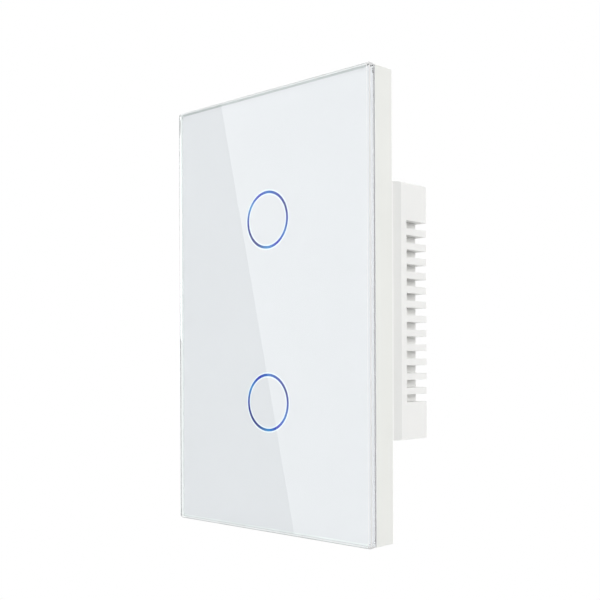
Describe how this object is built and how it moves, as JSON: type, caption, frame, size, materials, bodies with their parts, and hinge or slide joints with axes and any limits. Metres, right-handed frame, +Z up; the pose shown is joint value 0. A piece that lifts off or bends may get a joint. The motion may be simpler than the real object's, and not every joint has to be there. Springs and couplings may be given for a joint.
{
  "type": "touch light switch",
  "caption": "Two-key glass touch light switch for a single wall box, with a pull-off front panel, steel yoke, finned rear module and screw terminals.",
  "frame": {"origin": "middle of the switch on the plane of the wall, between the two wall box screws", "axes": "+X to the right as a person faces the switch, +Y into the wall, +Z up"},
  "size_m": [0.072, 0.0386, 0.118],
  "materials": {
    "clear_glass": "polished, bevelled edge",
    "print_white": "white print on the back of glass",
    "foam_tape": "grey foam tape",
    "white_plastic": "fine moulded texture",
    "zinc_steel": "zinc plated sheet",
    "zinc_screw": "zinc plated",
    "board_green": "solder resist on glass fibre",
    "chip_black": "moulded resin",
    "lamp_blue": "clear resin over a blue lamp",
    "shade_white": "moulded",
    "light_guide": "milky light guide",
    "spring_steel": "bright drawn wire",
    "plug_black": "moulded nylon",
    "relay_blue": "moulded case",
    "capacitor_yellow": "resin filled case",
    "varistor_blue": "dipped coating",
    "fuse_ceramic": "ceramic tube with metal caps",
    "capacitor_sleeve": "shrink sleeve",
    "ferrite": "pressed ferrite",
    "winding_tape": "coil under polyester tape",
    "terminal_white": "moulded flame proof plastic",
    "brass_bar": "stamped brass",
    "nickel_cage": "nickel plated"
  },
  "bodies": {
    "switch_module": {"mounting_yoke": "zinc_steel", "yoke_screws": "zinc_screw", "module_cover": "white_plastic", "rear_housing": "white_plastic", "housing_screws": "zinc_screw", "touch_board": "board_green", "touch_board_screws": "zinc_screw", "touch_chip": "chip_black", "ring_leds": "lamp_blue", "light_shade": "shade_white", "light_ring_upper": "light_guide", "light_ring_lower": "light_guide", "touch_spring_upper": "spring_steel", "touch_spring_lower": "spring_steel", "board_header": "plug_black", "board_socket": "plug_black", "power_board": "board_green", "relay_left": "relay_blue", "relay_right": "relay_blue", "film_capacitor": "capacitor_yellow", "varistor": "varistor_blue", "fuse": "fuse_ceramic", "electrolytic_capacitor": "capacitor_sleeve", "small_capacitor": "capacitor_sleeve", "bridge_rectifier": "chip_black", "transformer_core": "ferrite", "transformer_bobbin": "plug_black", "transformer_winding": "winding_tape", "contact_bars": "brass_bar", "terminal_block_1": "terminal_white", "terminal_block_2": "terminal_white", "terminal_block_3": "terminal_white", "terminal_block_4": "terminal_white"},
    "front_panel": {"glass_panel": "clear_glass", "white_print": "print_white", "adhesive_tape": "foam_tape", "panel_frame": "white_plastic"},
    "screw_1": {"terminal_screw_1": "zinc_screw"},
    "cage_1": {"terminal_cage_1": "nickel_cage"},
    "screw_2": {"terminal_screw_2": "zinc_screw"},
    "cage_2": {"terminal_cage_2": "nickel_cage"},
    "screw_3": {"terminal_screw_3": "zinc_screw"},
    "cage_3": {"terminal_cage_3": "nickel_cage"},
    "screw_4": {"terminal_screw_4": "zinc_screw"},
    "cage_4": {"terminal_cage_4": "nickel_cage"}
  },
  "joints": [
    {"name": "panel_pull", "type": "slide", "parent": "switch_module", "child": "front_panel", "axis": [0, -1, 0], "range_m": [0, 0.025]},
    {"name": "screw_turn_1", "type": "hinge", "parent": "switch_module", "child": "screw_1", "pos_m": [-0.0135, 0.026, -0.0285], "axis": [0, -1, 0], "range_deg": [0, 1800]},
    {"name": "cage_rise_1", "type": "slide", "parent": "switch_module", "child": "cage_1", "axis": [0, 1, 0], "range_m": [0, 0.004]},
    {"name": "screw_turn_2", "type": "hinge", "parent": "switch_module", "child": "screw_2", "pos_m": [-0.0045, 0.026, -0.0285], "axis": [0, -1, 0], "range_deg": [0, 1800]},
    {"name": "cage_rise_2", "type": "slide", "parent": "switch_module", "child": "cage_2", "axis": [0, 1, 0], "range_m": [0, 0.004]},
    {"name": "screw_turn_3", "type": "hinge", "parent": "switch_module", "child": "screw_3", "pos_m": [0.0045, 0.026, -0.0285], "axis": [0, -1, 0], "range_deg": [0, 1800]},
    {"name": "cage_rise_3", "type": "slide", "parent": "switch_module", "child": "cage_3", "axis": [0, 1, 0], "range_m": [0, 0.004]},
    {"name": "screw_turn_4", "type": "hinge", "parent": "switch_module", "child": "screw_4", "pos_m": [0.0135, 0.026, -0.0285], "axis": [0, -1, 0], "range_deg": [0, 1800]},
    {"name": "cage_rise_4", "type": "slide", "parent": "switch_module", "child": "cage_4", "axis": [0, 1, 0], "range_m": [0, 0.004]}
  ],
  "couplings": [
    {"joint": "screw_turn_1", "follows": "cage_rise_1", "rad_per_m": 7853.2},
    {"joint": "screw_turn_2", "follows": "cage_rise_2", "rad_per_m": 7853.2},
    {"joint": "screw_turn_3", "follows": "cage_rise_3", "rad_per_m": 7853.2},
    {"joint": "screw_turn_4", "follows": "cage_rise_4", "rad_per_m": 7853.2}
  ]
}
